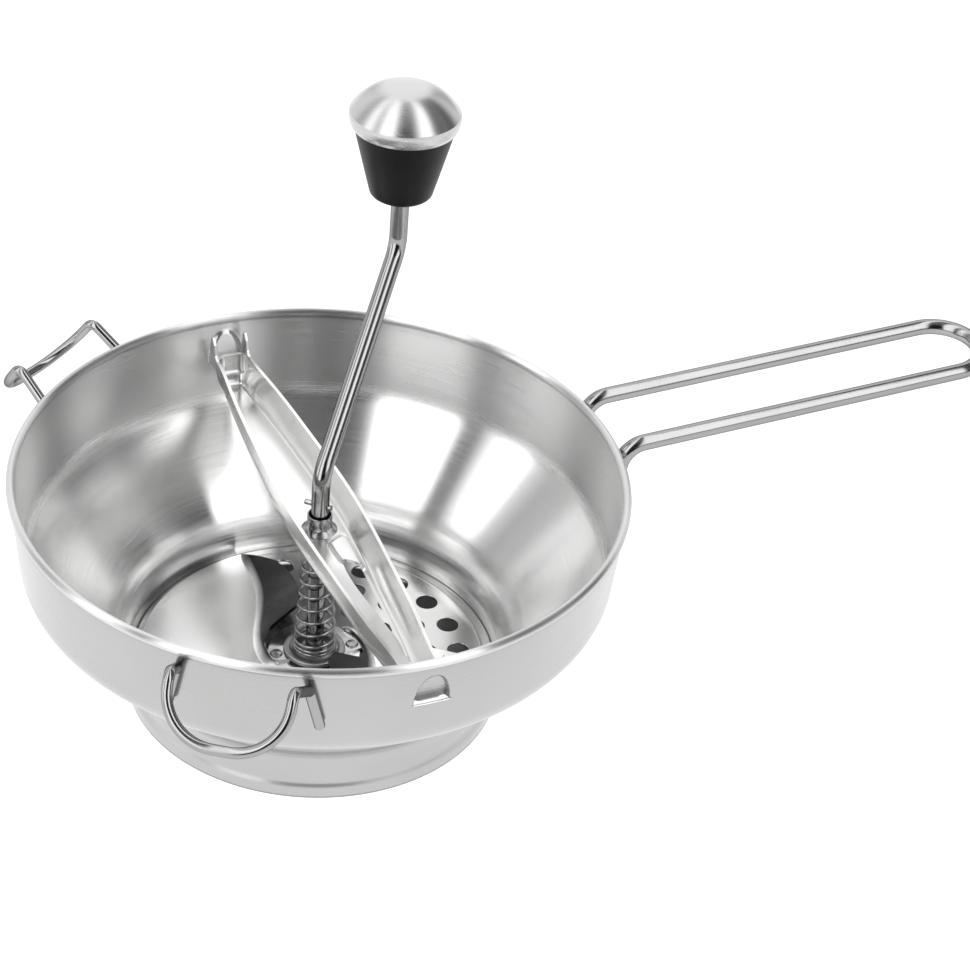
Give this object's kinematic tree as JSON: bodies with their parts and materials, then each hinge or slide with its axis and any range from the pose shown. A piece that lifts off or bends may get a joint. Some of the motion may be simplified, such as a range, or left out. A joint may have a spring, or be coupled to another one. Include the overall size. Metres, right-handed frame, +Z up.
{
  "type": "hand-cranked food mill",
  "caption": "Round steel strainer bowl with a perforated floor, a sprung crank-driven blade under a cross bridge, a long wire loop handle and wire rim hooks.",
  "frame": {"origin": "on the bowl's axis, level with the lower edge of the foot ring", "axes": "+Z up the bowl's axis, +X out along the long handle, bridge along Y"},
  "size_m": [0.3797, 0.2404, 0.2119],
  "materials": {
    "bowl_steel": "satin outside, brushed inside",
    "wire_steel": "polished wire",
    "sieve_steel": "plain sheet",
    "bridge_steel": "polished sheet",
    "collar_steel": "polished",
    "spring_steel": "bright wire",
    "rod_steel": "polished rod",
    "blade_steel": "polished sheet",
    "rivet_steel": "plain",
    "knob_black": "satin black",
    "cap_steel": "polished cap"
  },
  "bodies": {
    "bowl_assembly": {"bowl": "bowl_steel", "handle": "wire_steel", "hook_left": "wire_steel", "hook_right": "wire_steel", "sieve_disc": "sieve_steel"},
    "spring_seat_assembly": {"spring_seat": "collar_steel", "spring": "spring_steel"},
    "crank_assembly": {"crank_rod": "rod_steel", "stop_pin": "rod_steel", "pilot_nut": "collar_steel", "blade": "blade_steel", "blade_hub": "blade_steel", "blade_rivet_a": "rivet_steel", "blade_rivet_b": "rivet_steel", "knob_ferrule": "rod_steel", "knob_washer": "rivet_steel"},
    "knob": {"knob_grip": "knob_black", "knob_cap": "cap_steel"},
    "bridge_assembly": {"bridge": "bridge_steel", "bridge_collar": "collar_steel", "spring_top_washer": "collar_steel"}
  },
  "joints": [
    {"name": "bridge_press", "type": "slide", "parent": "bowl_assembly", "child": "bridge_assembly", "axis": [0, 0, -1], "range_m": [0, 0.015], "stiffness_N_per_m": 1100, "springref_m": -0.015},
    {"name": "blade_lift", "type": "slide", "parent": "bowl_assembly", "child": "spring_seat_assembly", "axis": [0, 0, 1], "range_m": [0, 0.006], "stiffness_N_per_m": 1100, "springref_m": -0.015, "deforming": ["spring"]},
    {"name": "crank_turn", "type": "hinge", "parent": "spring_seat_assembly", "child": "crank_assembly", "pos_m": [0, 0, 0.05], "axis": [0, 0, 1], "continuous": true},
    {"name": "knob_spin", "type": "hinge", "parent": "crank_assembly", "child": "knob", "pos_m": [0.04459, 0.04866, 0.17], "axis": [0, 0, 1], "continuous": true}
  ]
}
